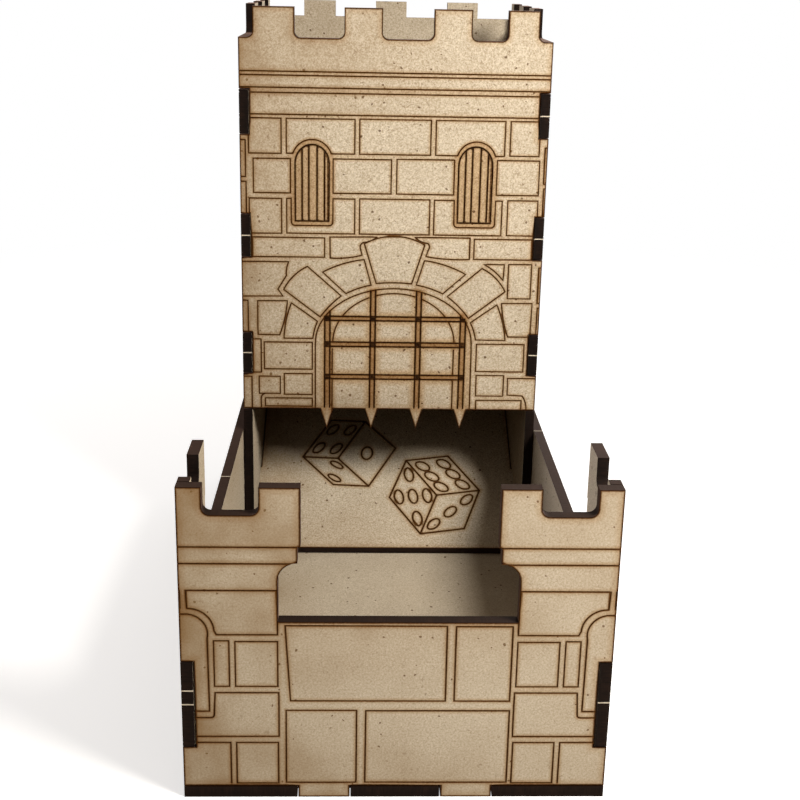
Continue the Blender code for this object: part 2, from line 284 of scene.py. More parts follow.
def front_wall_scores():
    """Stones of the tray front, with rounded quoins at both corners."""
    light = []
    for side in (-1, 1):
        light += [[(side * 53, level), (side * 20, level)] for level in TRAY_BANDS]
        quoin = [(50.8, 57.3), (29.1, 57.3), (29.0, 45.5), (43.7, 45.5), (44.2, 46.6)]
        quoin += [(50.6, 52.5, side * 1.8), (50.8, 57.3)]
        cheek = [(53.0, 51.0), (50.4, 51.0), (45.9, 44.4, -side * 1.8), (45.7, 24.5), (49.7, 24.5)]
        sill = [(50.0, 17.4), (28.8, 17.4), (28.8, 29.7), (44.3, 29.7), (44.6, 23.6)]
        sill += [(45.5, 22.7, -side * 0.3), (49.7, 22.7)]
        shapes = [quoin, cheek, sill, [(52.1, 57.3), (52.1, 52.6)]]
        shapes += [
            box(40.7, 31.4, 44.4, 43.9),
            box(29.0, 31.4, 39.3, 43.7),
            [(53.0, 15.7), (40.7, 15.7), (40.7, 4.0)],
            box(29.0, 4.0, 39.3, 15.7),
        ]
        for shape in shapes:
            light.append([(side * point[0], *point[1:]) for point in shape])
    light += [
        [(-27.2, 48.0), (11.8, 48.0), (11.9, 27.4), (-26.0, 27.4), (-27.2, 48.0)],
        box(14.0, 27.4, 27.7, 47.9),
        box(-27.1, 4.2, -9.8, 24.8),
        box(-7.6, 4.2, 27.8, 24.7),
    ]
    return (light,)


def die(corner, edges, counts):
    """Outline of a drawn die: three faces round a corner, with ring pips."""
    pip = 0.135  # a ring's radius, as a share of the face
    spots = {
        1: ((0.5, 0.5),),
        2: ((0.25, 0.25), (0.75, 0.75)),
        3: ((0.22, 0.78), (0.5, 0.5), (0.78, 0.22)),
        4: ((0.25, 0.25), (0.75, 0.25), (0.25, 0.75), (0.75, 0.75)),
        5: ((0.2, 0.2), (0.8, 0.2), (0.5, 0.5), (0.2, 0.8), (0.8, 0.8)),
        6: ((0.2, 0.25), (0.5, 0.25), (0.8, 0.25), (0.2, 0.75), (0.5, 0.75), (0.8, 0.75)),
    }
    paths = []
    heart = Vector(corner)
    arms = [Vector(edge) for edge in edges]
    for index, count in enumerate(counts):
        one = arms[index]
        other = arms[(index + 1) % 3]
        paths.append([tuple(heart + one), tuple(heart + one + other), tuple(heart + other)])
        for first, second in spots[count]:
            middle = heart + one * first + other * second
            ring = []
            for step in range(17):
                angle = math.tau * step / 16
                ring.append(tuple(middle + one * pip * math.cos(angle) + other * pip * math.sin(angle)))
            paths.append(ring)
    paths += [[tuple(heart), tuple(heart + arm)] for arm in arms]
    return paths


def ramp_scores():
    """Two drawn dice on the ramp."""
    first = die((-18.0, 38.2), ((-12.9, 0.6), (10.0, 17.2), (11.4, -12.3)), (4, 1, 2))
    second = die((18.0, 22.2), ((-10.8, 15.2), (15.6, 2.2), (-6.3, -16.3)), (6, 3, 5))
    return (first + second,)


def coursed(left, right, courses, seed, shortest=9.0, longest=21.0):
    """Plain coursed stones with staggered joints, for the sides and the back."""
    chance = random.Random(seed)
    light = []
    for low, high in courses:
        place = left - chance.uniform(0.0, shortest)
        while place < right:
            end = place + chance.uniform(shortest, longest)
            light.append(box(place, low, end, high))
            place = end + JOINT
    return light


def side_scores(left, right, seed):
    """Bands and stones between two edges of a tower side."""
    light = [[(left, level), (right, level)] for level in TOWER_BANDS]
    return (light + coursed(left, right, COURSES, seed),)


def back_scores():
    """Bands and stones of the back, with the tray's courses below."""
    (light,) = side_scores(-49.0, 49.0, 5)
    return (light + coursed(-52.0, 52.0, TRAY_COURSES, 6),)


def tray_side_scores(left, right, seed):
    """Bands on the battlement, from left to right, and stones along the whole side of the tray."""
    light = [[(left, level), (right, level)] for level in TRAY_BANDS]
    light.append([(-REAR, TRAY_CAP), (REAR, TRAY_CAP)])
    return (light + coursed(-REAR, REAR, TRAY_COURSES, seed),)


# Boards


def board_frame(node, facing):
    """Plane of a board's outer face: its matrix, with local Z out of the board."""
    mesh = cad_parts[node].data
    best = max(mesh.polygons, key=lambda polygon: polygon.area * polygon.normal.dot(facing))
    out = best.normal.normalized()
    height = out.dot(mesh.vertices[best.vertices[0]].co)
    upward = Vector((0, 1, 0)) if abs(out.z) > ALIGNED else Vector((0, 0, 1))
    up = (upward - out * upward.dot(out)).normalized()
    across = up.cross(out)
    origin = out * height
    if 0.1 < abs(out.z) < ALIGNED:  # a sloping board is measured from its low end
        origin += up * (min(up.dot(vertex.co) for vertex in mesh.vertices) - up.dot(origin))
    else:
        origin -= up * up.dot(origin)
    matrix = Matrix((across, up, out)).transposed().to_4x4()
    matrix.translation = origin - across * across.dot(origin)
    return matrix


def board_loops(node, matrix):
    """Outline and holes of a board's outer face, in its own plane, mm."""
    bm = bmesh.new()
    bm.from_mesh(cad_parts[node].data)
    bmesh.ops.remove_doubles(bm, verts=bm.verts, dist=0.01 * MM)
    bm.transform(matrix.inverted())
    bm.normal_update()
    facing = [face for face in bm.faces if face.normal.z > ALIGNED]
    # a list, as a set of faces comes in another order each run
    lid = [face for face in facing if face.calc_center_median().z > -0.1 * MM]
    following = {}
    for face in lid:
        for loop in face.loops:
            if len([other for other in loop.edge.link_faces if other in lid]) == 1:
                following[loop.vert.index] = loop.link_loop_next.vert.index
    bm.verts.ensure_lookup_table()
    loops = []
    while following:
        start = next(iter(following))
        ring = [start]
        while following[ring[-1]] != start:
            ring.append(following[ring[-1]])
        for index in ring:
            del following[index]
        loops.append([Vector(bm.verts[index].co.xy) / MM for index in ring])
    bm.free()
    loops.sort(key=lambda ring: -abs(area(ring)))
    return loops


def area(ring):
    """Area inside a ring of points, negative where it runs clockwise."""
    return sum(ring[i - 1].x * ring[i].y - ring[i].x * ring[i - 1].y for i in range(len(ring))) / 2


def beside(points, distance, closed):
    """A path moved sideways, with mitred corners; an open one also runs on past both its ends."""
    count = len(points)
    moved = []
    for index, point in enumerate(points):
        before = points[index - 1] if index or closed else None
        after = points[(index + 1) % count] if index < count - 1 or closed else None
        into = (point - before).normalized() if before is not None else (after - point).normalized()
        out = (after - point).normalized() if after is not None else into
        mitre = into + out
        mitre = mitre.normalized() if mitre.length > 0.2 else into  # a path that turns back has no mitre
        normal = Vector((-mitre.y, mitre.x))
        reach = distance / max(0.5, mitre.dot(into))  # a sharp corner's mitre is held to twice the distance
        place = point + normal * reach
        if before is None:
            moved.append(place - abs(distance) * into)
        moved.append(place)
        if after is None:
            moved.append(place + abs(distance) * into)
    return moved


def spaced(points):
    """A path without its repeated points, and whether it is a ring."""
    kept = [points[0]]
    for point in points[1:]:
        if (point - kept[-1]).length > TOUCHING:
            kept.append(point)
    ring = len(kept) > 3 and (kept[0] - kept[-1]).length < TOUCHING
    if ring:
        kept.pop()
    return kept, ring


def with_nicks(loops, spots):
    """Adds the ends of each short uncut nick to the edge nearest to its place."""
    nicks = []
    for spot in spots:
        best = None
        for number, ring in enumerate(loops):
            for index, point in enumerate(ring):
                step = ring[(index + 1) % len(ring)] - point
                share = (Vector(spot) - point).dot(step) / step.length_squared
                if 0.1 < share < 0.9:
                    middle = point + step * share
                    gap = (middle - Vector(spot)).length
                    if best is None or gap < best[0]:
                        best = (gap, middle, number, index, step.normalized() * NICK_LENGTH / 2)
        gap, middle, number, index, half = best
        loops[number][index + 1 : index + 1] = [middle - half, middle + half]
        nicks.append(middle)
    return loops, nicks


def board_mesh(name, loops, nicks, paths, rim):
    """Closed board with an edge along every line that the scoring needs."""
    points = []
    edges = []
    rings = []

    def add(line, closed):
        first = len(points)
        points.extend(line)
        edges.extend((first + i, first + i + 1) for i in range(len(line) - 1))
        if closed:
            edges.append((first + len(line) - 1, first))
        return list(range(first, first + len(line)))

    for number, ring in enumerate(loops):
        indices = add(ring, True)
        # a hole runs clockwise, and the triangulation takes it turned
        rings.append(indices[::-1] if number else indices)
        for share in (INNER_SHARE, 1.0):
            add(beside(ring, rim * share, True), True)
    for path, closed, reaches in paths:
        add(path, closed)
        for reach in reaches:
            for side in (-reach, reach):
                add(beside(path, side, closed), closed)
    low = [math.floor(min(point[axis] for point in loops[0]) / GRID) for axis in (0, 1)]
    high = [math.ceil(max(point[axis] for point in loops[0]) / GRID) for axis in (0, 1)]
    for column in range(low[0], high[0] + 1):
        for row in range(low[1], high[1] + 1):
            across = (column + 0.5 * (row % 2)) * GRID + GRID_SHIFT[0]
            points.append(Vector((across, row * GRID + GRID_SHIFT[1])))
    flat, _, triangles, _, _, owners = delaunay_2d_cdt(points, edges, rings, 0, MERGING)
    mesh = bpy.data.meshes.new(name)
    bm = bmesh.new()
    outer = bm.verts.layers.float.new("outer")
    part = bm.faces.layers.int.new("part")
    uv = bm.loops.layers.uv.new("Board")
    tops = {}
    bottoms = {}
    sides = set()

    def corner(store, index, height):
        if index not in store:
            store[index] = bm.verts.new((flat[index].x * MM, flat[index].y * MM, height * MM))
            store[index][outer] = 1.0 if height == 0 else 0.0
        return store[index]

    for triangle, owner in zip(triangles, owners):
        if 0 not in owner or any(index in owner for index in range(1, len(loops))):
            continue
        lid = bm.faces.new([corner(tops, index, 0) for index in triangle])
        lid[part] = OUTER
        floor = bm.faces.new([corner(bottoms, index, -SHEET) for index in reversed(triangle)])
        floor[part] = INNER
        sides.update((triangle[index - 1], triangle[index]) for index in range(3))
    for start, end in sorted(sides):
        if (end, start) in sides:
            continue
        wall = bm.faces.new((bottoms[start], bottoms[end], tops[end], tops[start]))
        middle = (flat[start] + flat[end]) / 2
        wall[part] = NICK if any((middle - nick).length < NICK_LENGTH / 2 for nick in nicks) else CUT
    for face in bm.faces:
        lengths = [loop.vert.co - face.loops[0].vert.co for loop in face.loops]
        wide = max(abs(length.x) for length in lengths) > max(abs(length.y) for length in lengths)
        for loop in face.loops:
            place = loop.vert.co / MM
            if face[part] in (OUTER, INNER):
                loop[uv].uv = place.xy
            else:
                loop[uv].uv = (place.x if wide else place.y, place.z)
    bm.to_mesh(mesh)
    bm.free()
    return mesh


def line_object(name, paths):
    """Loose edges of the given paths, which the scoring tree measures from."""
    mesh = bpy.data.meshes.new(name)
    points = []
    edges = []
    for path, closed in paths:
        first = len(points)
        points += [(point.x * MM, point.y * MM, 0) for point in path]
        edges += [(first + i, first + i + 1) for i in range(len(path) - 1)]
        if closed:
            edges.append((first + len(path) - 1, first))
    mesh.from_pydata(points, edges, [])
    item = bpy.data.objects.new(name, mesh)
    bpy.context.collection.objects.link(item)
    return item


# Nodes


def add_node(tree, kind, inputs=None, **settings):
    """Adds a node; an input, by name or number, takes a node's live output, a socket or a value."""
    node = tree.nodes.new(kind)
    for name, value in settings.items():
        setattr(node, name, value)
    for name, value in (inputs or {}).items():
        if isinstance(value, bpy.types.Node):
            value = next(socket for socket in value.outputs if socket.enabled)
        if isinstance(value, bpy.types.NodeSocket):
            tree.links.new(value, node.inputs[name])
        else:
            node.inputs[name].default_value = value
    return node


def scoring_tree(sizes):
    """Geometry Nodes: engraves the score lines and stores how burnt each point is."""
    tree = bpy.data.node_groups.new("Laser scoring", "GeometryNodeTree")
    face = tree.interface
    face.new_socket("Geometry", in_out="INPUT", socket_type="NodeSocketGeometry")
    for name in LINE_SETS:
        face.new_socket(name, in_out="INPUT", socket_type="NodeSocketObject")
    for name, value in sizes.items():
        socket = face.new_socket(name, in_out="INPUT", socket_type="NodeSocketFloat")
        socket.subtype = "DISTANCE"
        socket.default_value = value
    for name in FINISHES:
        face.new_socket(name, in_out="INPUT", socket_type="NodeSocketMaterial")
    face.new_socket("Geometry", in_out="OUTPUT", socket_type="NodeSocketGeometry")
    source = add_node(tree, "NodeGroupInput").outputs
    outer = add_node(tree, "GeometryNodeInputNamedAttribute", {"Name": "outer"}, data_type="FLOAT")

    distances = {}
    for name in LINE_SETS:
        guide = {"Object": source[name]}
        lines = add_node(tree, "GeometryNodeObjectInfo", guide, transform_space="ORIGINAL")
        near = add_node(tree, "GeometryNodeProximity", {0: lines.outputs["Geometry"]}, target_element="EDGES")
        # a set without lines counts as a metre away
        found = {"Switch": near.outputs["Is Valid"], "False": 1.0, "True": near.outputs["Distance"]}
        distances[name] = add_node(tree, "GeometryNodeSwitch", found, input_type="FLOAT")

    # V-shaped grooves, the deeper of the two where lines cross
    grooves = []
    for kind, lines in (("Score", "Score lines"), ("Deep", "Deep lines")):
        half = add_node(tree, "ShaderNodeMath", {0: source[kind + " width"], 1: 0.5}, operation="MULTIPLY")
        slope = {"Value": distances[lines], 1: 0.0, 2: half, 3: source[kind + " depth"], 4: 0.0}
        grooves.append(add_node(tree, "ShaderNodeMapRange", slope))
    deepest = add_node(tree, "ShaderNodeMath", {0: grooves[0], 1: grooves[1]}, operation="MAXIMUM")
    on_face = add_node(tree, "ShaderNodeMath", {0: deepest, 1: outer}, operation="MULTIPLY")
    down = add_node(tree, "ShaderNodeMath", {0: on_face, 1: -1.0}, operation="MULTIPLY")
    offset = add_node(tree, "ShaderNodeCombineXYZ", {"Z": down})

    geometry = source["Geometry"]
    for mark, lines, reach in (
        ("scorch", "Score lines", "Halo"),
        ("char", "Deep lines", "Deep halo"),
        ("tone", "Toned strips", "Tone"),
        ("rim", "Cut lines", "Rim"),
        # smoke beside the cuts, which also carries painted shade
        ("smoke", "Cut lines", "Smoke"),
    ):
        fading = {"Value": distances[lines], 1: 0.0, 2: source[reach], 3: 1.0, 4: 0.0}
        level = add_node(tree, "ShaderNodeMapRange", fading)
        if lines != "Cut lines":
            level = add_node(tree, "ShaderNodeMath", {0: level, 1: outer}, operation="MULTIPLY")
        stored = {"Geometry": geometry, "Name": mark, "Value": level}
        geometry = add_node(tree, "GeometryNodeStoreNamedAttribute", stored, data_type="FLOAT")
    moved = add_node(tree, "GeometryNodeSetPosition", {"Geometry": geometry, "Offset": offset})
    geometry = add_node(tree, "GeometryNodeRealizeInstances", {0: moved})
    part = add_node(tree, "GeometryNodeInputNamedAttribute", {"Name": "part"}, data_type="INT")
    for number, name in enumerate(FINISHES):
        same = {2: part, 3: number}
        chosen = add_node(tree, "FunctionNodeCompare", same, data_type="INT", operation="EQUAL")
        painted = {"Geometry": geometry, "Selection": chosen, "Material": source[name]}
        geometry = add_node(tree, "GeometryNodeSetMaterial", painted)
    add_node(tree, "NodeGroupOutput", {0: geometry})
    return tree


def start_finish(name, roughness):
    """A new finish, and the tree and shader that its nodes go to."""
    material = bpy.data.materials.new(name)
    material.use_nodes = True
    shader = material.node_tree.nodes["Principled BSDF"]
    shader.inputs["Roughness"].default_value = roughness
    return material, material.node_tree, shader


def face_material(name, colours, contrast, smoke, right_smoke_and_shade, scored):
    """Medium-density fibreboard, pressed and sanded: a matt felt of pale and dark fibres with bark
    flecks, golden to dark brown where the laser has passed near."""
    material, tree, shader = start_finish(name, 0.85)
    place = add_node(tree, "ShaderNodeTexCoord").outputs["Object"]

    # felt of fibres about 0.5 mm across, coarser than the real ones so that it shows, over cloudy patches
    tufts = {"Vector": place, "Scale": 1 / (0.48 * MM), "Detail": 4.0, "Roughness": 0.7}
    felt = add_node(tree, "ShaderNodeTexNoise", tufts)
    spread = 0.12 / contrast
    flock = add_node(tree, "ShaderNodeMapRange", {"Value": felt, 1: 0.5 - spread, 2: 0.5 + spread})
    patches = {"Vector": place, "Scale": 1 / (10 * MM), "Detail": 3.0, "Roughness": 0.6}
    drift = add_node(tree, "ShaderNodeTexNoise", patches)
    cloud = add_node(tree, "ShaderNodeMapRange", {"Value": drift, 1: 0.35, 2: 0.68, 3: 0.0, 4: 0.2})
    colour = add_node(tree, "ShaderNodeMix", {0: flock, 6: colours.felt, 7: colours.pale}, data_type="RGBA")
    colour = add_node(tree, "ShaderNodeMix", {0: cloud, 6: colour, 7: colours.felt}, data_type="RGBA")

    # single fibres 0.1 to 0.2 mm thick and 1 to 3 mm long, lying any way: contour lines of one noise,
    # cut short by another. Size, place, width, share left out, strength
    for size, shift, width, gaps, strength, paint in (
        (1.5, 0.2, 0.014, 0.5, 0.45, colours.fibre),
        (2.1, 0.5, 0.012, 0.54, 0.6, colours.fibre),
        (1.7, 0.8, 0.016, 0.5, 0.5, colours.pale),
    ):
        there = add_node(tree, "ShaderNodeVectorMath", {0: place, 1: (shift, -shift, shift)}, operation="ADD")
        curls = {"Vector": there, "Scale": 1 / (size * MM), "Detail": 1.0}
        swirl = add_node(tree, "ShaderNodeTexNoise", curls)
        contour = add_node(tree, "ShaderNodeMath", {0: swirl, 1: 0.5}, operation="SUBTRACT")
        near = add_node(tree, "ShaderNodeMath", {0: contour}, operation="ABSOLUTE")
        thread = {"Value": near, 1: width, 2: width * 0.4, 3: 0.0, 4: strength * contrast}
        line = add_node(tree, "ShaderNodeMapRange", thread)
        beyond = add_node(tree, "ShaderNodeVectorMath", {0: there, 1: (0.03, 0.03, 0.03)}, operation="ADD")
        breaks = {"Vector": beyond, "Scale": 1 / (size * MM * 0.8), "Detail": 1.0}
        cutter = add_node(tree, "ShaderNodeTexNoise", breaks)
        kept = add_node(tree, "ShaderNodeMapRange", {"Value": cutter, 1: gaps, 2: gaps + 0.05})
        fibre = add_node(tree, "ShaderNodeMath", {0: line, 1: kept}, operation="MULTIPLY")
        colour = add_node(tree, "ShaderNodeMix", {0: fibre, 6: colour, 7: paint}, data_type="RGBA")

    # bark flecks, up to 0.9 mm across, one or two to each square centimetre
    bent = add_node(tree, "ShaderNodeTexNoise", {"Vector": place, "Scale": 1 / (1.2 * MM), "Detail": 1.0})
    warp = {0: bent.outputs["Color"], 1: (0.9 * MM, 0.9 * MM, 0.9 * MM), 2: place}
    warped = add_node(tree, "ShaderNodeVectorMath", warp, operation="MULTIPLY_ADD")
    cell = add_node(tree, "ShaderNodeTexVoronoi", {"Vector": warped, "Scale": 1 / (3.0 * MM)})
    lot = add_node(tree, "ShaderNodeSeparateColor", {0: cell.outputs["Color"]})
    rare = add_node(tree, "ShaderNodeMapRange", {"Value": lot.outputs[0], 1: 0.5, 2: 0.56, 3: 0.0, 4: 0.85})
    reach = add_node(tree, "ShaderNodeMapRange", {"Value": lot.outputs[1], 3: 0.05, 4: 0.15})
    inside = add_node(tree, "ShaderNodeMath", {0: cell, 1: reach}, operation="LESS_THAN")
    fleck = add_node(tree, "ShaderNodeMath", {0: inside, 1: rare}, operation="MULTIPLY")
    colour = add_node(tree, "ShaderNodeMix", {0: fleck, 6: colour, 7: colours.bark}, data_type="RGBA")

    # smoke stains the face beside the cuts in soft patches; the same brown is painted shade where it grows
    # towards the left
    smoke_and_shade_fade = add_node(tree, "ShaderNodeAttribute", attribute_type="GEOMETRY", attribute_name="smoke")
    far = add_node(tree, "ShaderNodeVectorMath", {0: place, 1: (0.9, -0.9, 0.9)}, operation="ADD")
    wisps = add_node(tree, "ShaderNodeTexNoise", {"Vector": far, "Scale": 1 / (14 * MM)})
    thickness = {"Value": wisps, 1: 0.35, 2: 0.65, 3: 0.5 * smoke, 4: smoke}
    patchy = add_node(tree, "ShaderNodeMapRange", thickness)
    width = add_node(tree, "ShaderNodeSeparateXYZ", {0: place}).outputs["X"]
    # painted shade: more of the brown on the left of a face, where less light falls
    painted_shade_leftward = {"Value": width, 1: 20 * MM, 2: -50 * MM, 3: right_smoke_and_shade, 4: 1.0}
    smoke_and_shade_share = add_node(tree, "ShaderNodeMapRange", painted_shade_leftward)
    smoke_and_shade_share = add_node(tree, "ShaderNodeMath", {0: smoke_and_shade_share, 1: patchy}, operation="MULTIPLY")
    smoke_and_shade_amount = add_node(tree, "ShaderNodeMath", {0: smoke_and_shade_fade.outputs["Fac"], 1: smoke_and_shade_share}, operation="MULTIPLY")
    colour = add_node(tree, "ShaderNodeMix", {0: smoke_and_shade_amount, 6: colour, 7: colours.smoke}, data_type="RGBA")

    # heat gilds the fibres, then browns and chars them. Mark, how much it gilds, then the levels where
    # brown starts and is full and where char is full, and how much of each shows
    marks = [("rim", 0.6, 0.74, 0.87, 0.95, 0.95, 1.0)]
    if scored:
        marks += [
            ("tone", 0.9, 0.1, 0.7, 1.3, 0.14, 0.0),
            ("scorch", 0.9, 0.66, 0.85, 0.95, 0.95, 0.95),
            ("char", 1.0, 0.81, 0.9, 0.94, 0.85, 1.0),
        ]
    grain = add_node(tree, "ShaderNodeTexNoise", {"Vector": place, "Scale": 1 / (0.6 * MM)})
    for mark, gilding, brown_from, brown_full, char_full, browning, charring in marks:
        burnt = add_node(tree, "ShaderNodeAttribute", attribute_type="GEOMETRY", attribute_name=mark)
        uneven = add_node(tree, "ShaderNodeMapRange", {"Value": grain, 1: 0.3, 2: 0.7, 3: 0.98, 4: 1.02})
        level = add_node(tree, "ShaderNodeMath", {0: burnt.outputs["Fac"], 1: uneven}, operation="MULTIPLY")
        warmth = add_node(tree, "ShaderNodeMapRange", {"Value": level, 2: 0.8, 4: gilding})
        gilt = {0: warmth, 6: colour, 7: colours.gilding}
        colour = add_node(tree, "ShaderNodeMix", gilt, data_type="RGBA", blend_type="MULTIPLY")
        browned = {"Value": level, 1: brown_from, 2: brown_full, 4: browning}
        scorched = add_node(tree, "ShaderNodeMapRange", browned)
        brown = {0: scorched, 6: colour, 7: colours.scorch}
        colour = add_node(tree, "ShaderNodeMix", brown, data_type="RGBA")
        charred = {"Value": level, 1: brown_full, 2: char_full, 4: charring}
        black = add_node(tree, "ShaderNodeMapRange", charred)
        colour = add_node(tree, "ShaderNodeMix", {0: black, 6: colour, 7: colours.char}, data_type="RGBA")

    tree.links.new(colour.outputs[2], shader.inputs["Base Color"])
    shader.inputs["Specular IOR Level"].default_value = 0.1
    bump = add_node(tree, "ShaderNodeBump", {"Strength": 0.2, "Distance": 0.05 * MM, "Height": flock})
    tree.links.new(bump.outputs[0], shader.inputs["Normal"])
    return material


def cut_material(name, colours):
    """Laser-cut edge of fibreboard: charred almost black, browner where the beam went in, ribbed through
    the thickness, with a dull brown bloom of soot when seen at a low angle."""
    material, tree, shader = start_finish(name, 0.8)
    # the board's own map is in mm: ribs 0.36 mm wide that run through the thickness, coarser than the
    # beam's real ones so that they show
    sheet = add_node(tree, "ShaderNodeUVMap", uv_map="Board")
    ribs = add_node(tree, "ShaderNodeMapping", {"Vector": sheet, "Scale": (2.8, 0.35, 1.0)})
    rough = {"Vector": ribs, "Scale": 1.0, "Detail": 3.0, "Roughness": 0.6}
    ripple = add_node(tree, "ShaderNodeTexNoise", rough)
    depth = add_node(tree, "ShaderNodeSeparateXYZ", {0: sheet}).outputs["Y"]
    entry = add_node(tree, "ShaderNodeMapRange", {"Value": depth, 1: -SHEET, 2: 0.0, 3: 0.25, 4: 0.75})
    crest = add_node(tree, "ShaderNodeMapRange", {"Value": ripple, 1: 0.3, 2: 0.8, 4: entry})
    browner = {0: crest, 6: colours.edge_dark, 7: colours.edge_light}
    burnt = add_node(tree, "ShaderNodeMix", browner, data_type="RGBA")
    # soot lies in patches a few millimetres wide
    patch = add_node(tree, "ShaderNodeTexNoise", {"Vector": sheet, "Scale": 0.3})
    soot = add_node(tree, "ShaderNodeMapRange", {"Value": patch, 1: 0.35, 2: 0.7, 3: 0.0, 4: 0.6})
    colour = add_node(tree, "ShaderNodeMix", {0: soot, 6: burnt, 7: colours.edge_dark}, data_type="RGBA")
    tree.links.new(colour.outputs[2], shader.inputs["Base Color"])
    shader.inputs["Specular IOR Level"].default_value = 0.1
    shader.inputs["Sheen Weight"].default_value = 0.5
    shader.inputs["Sheen Roughness"].default_value = 0.4
    shader.inputs["Sheen Tint"].default_value = colours.edge_bloom
    bump = add_node(tree, "ShaderNodeBump", {"Strength": 0.5, "Distance": 0.06 * MM, "Height": ripple})
    tree.links.new(bump.outputs[0], shader.inputs["Normal"])
    return material


def nick_material(name, colours):
    """Raw fibreboard where the laser left a bridge that was snapped: pale, rough, in tufts 0.6 mm wide."""
    material, tree, shader = start_finish(name, 0.9)
    place = add_node(tree, "ShaderNodeTexCoord").outputs["Object"]
    grain = add_node(tree, "ShaderNodeTexNoise", {"Vector": place, "Scale": 1 / (0.6 * MM)})
    raw = {0: grain, 6: colours.felt, 7: colours.snapped}
    colour = add_node(tree, "ShaderNodeMix", raw, data_type="RGBA")
    tree.links.new(colour.outputs[2], shader.inputs["Base Color"])
    return material


def mark_sizes():
    """The laser's marks, by the names of the scoring tree's inputs."""
    marks = bpy.context.scene.dice_tower_marks
    return {
        "Score width": marks.score_width,
        "Score depth": marks.score_depth,
        "Deep width": marks.deep_width,
        "Deep depth": marks.deep_depth,
        "Halo": marks.halo,
        "Deep halo": marks.deep_halo,
        "Tone": marks.tone,
        "Rim": marks.rim,
        "Smoke": marks.smoke,
    }


def dress(node, facing, scores=(), spots=(), sheet=FINISHES["Face"], boldness=1.0):
    """Replaces a CAD board with the same board, engraved and burnt.

    The outer face is the largest one that looks roughly the way of facing. The nicks are at the spots, and
    boldness widens the light lines."""
    sizes = mark_sizes()
    sizes["Score width"] *= boldness
    sizes["Halo"] *= boldness
    reach = {name: size / MM for name, size in sizes.items()}
    matrix = board_frame(node, Vector(facing))
    loops, nicks = with_nicks(board_loops(node, matrix), spots)
    sets = dict.fromkeys(LINE_SETS, ())
    sets["Cut lines"] = [(ring, True) for ring in loops]
    paths = []
    offsets = (
        (reach["Score width"] / 2, reach["Halo"] / 2, reach["Halo"]),
        (reach["Deep width"] / 2, reach["Deep halo"] * INNER_SHARE, reach["Deep halo"]),
        (reach["Tone"],),
    )
    for name, group, around in zip(LINE_SETS, scores, offsets):
        sets[name] = [spaced(traced(path)) for path in group]
        paths += [(points, closed, around) for points, closed in sets[name]]
    name = node + "_board"
    piece = bpy.data.objects.new(name, board_mesh(name, loops, nicks, paths, reach["Rim"]))
    bpy.context.collection.objects.link(piece)
    tree = bpy.data.node_groups.get("Laser scoring") or scoring_tree(sizes)
    modifier = piece.modifiers.new("Laser scoring", "NODES")
    modifier.node_group = tree
    guides = {guide: line_object(guide, group) for guide, group in sets.items()}
    finishes = {**FINISHES, "Face": sheet}
    materials = {kind: bpy.data.materials[finish] for kind, finish in finishes.items()}
    values = {**sizes, **guides, **materials}
    for socket in tree.interface.items_tree:
        if socket.in_out == "INPUT" and socket.name in values:
            modifier[socket.identifier] = values[socket.name]
    view = bpy.context.evaluated_depsgraph_get()
    view.update()
    finished = bpy.data.meshes.new_from_object(piece.evaluated_get(view), depsgraph=view)
    piece.modifiers.clear()
    piece.data = finished
    piece.data.name = name
    for guide in guides.values():
        bpy.data.objects.remove(guide)
    piece.data.transform(matrix)
    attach(piece, "root")
    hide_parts(node)


def measure(name, description, millimetres):
    """A length that a user may change."""
    return bpy.props.FloatProperty(
        name=name, description=description, default=millimetres * MM, min=0.0, unit="LENGTH"
    )


class DiceTowerMarks(bpy.types.PropertyGroup):
    """Sizes of the laser's marks"""

    score_width: measure("Score width", "Width of an engraved line", 0.3)
    score_depth: measure("Score depth", "Depth of an engraved line", 0.2)
    deep_width: measure("Deep width", "Width of the bars' heavier lines", 0.45)
    deep_depth: measure("Deep depth", "Depth of the bars' heavier lines", 0.4)
    halo: measure("Halo", "How far heat browns the board beside a line", 1.05)
    deep_halo: measure("Deep halo", "How far heat browns the board beside a heavy line", 2.6)
    tone: measure("Tone", "Half the width of a lightly toned strip", 1.3)
    rim: measure("Rim", "How far heat browns the face beside a cut", 2.2)
    # partly painted shade: this reach also spreads the darkening over much of a face
    smoke: measure("Smoke", "How far smoke stains the face beside a cut", 28.0)


def paint(name, description, code):
    """A colour that a user may change."""
    return bpy.props.FloatVectorProperty(
        name=name, description=description, subtype="COLOR", size=4, min=0.0, max=1.0, default=linear(code)
    )


class DiceTowerColours(bpy.types.PropertyGroup):
    """Colours of the board and of what the laser burnt"""

    pale: paint("Pale fibre", "Lightest fibres of the board", "e3d7c2")
    felt: paint("Felt", "Body of the board between its pale fibres", "ae9c82")
    fibre: paint("Dark fibre", "Single dark fibres", "6f5435")
    bark: paint("Bark", "Flecks of bark in the board", "5c4028")
    gilding: paint("Gilding", "Tint that heat gives the fibres", "e5d0b4")
    scorch: paint("Scorch", "Brown beside an engraved line", "5a350c")
    char: paint("Char", "Bottom of an engraved line", "241002")
    # partly painted shade: this brown also darkens faces where less light falls
    smoke: paint("Smoke", "Stain on the face beside a cut", "8c6d44")
    edge_dark: paint("Edge soot", "Darkest part of a cut edge", "0d0806")
    edge_light: paint("Edge", "Browner ribs of a cut edge", "35231a")
    edge_bloom: paint("Edge bloom", "Soot on a cut edge when it is seen at a low angle", "c49c88")
    snapped: paint("Snapped", "Raw fibres of a snapped bridge", "efe4d0")


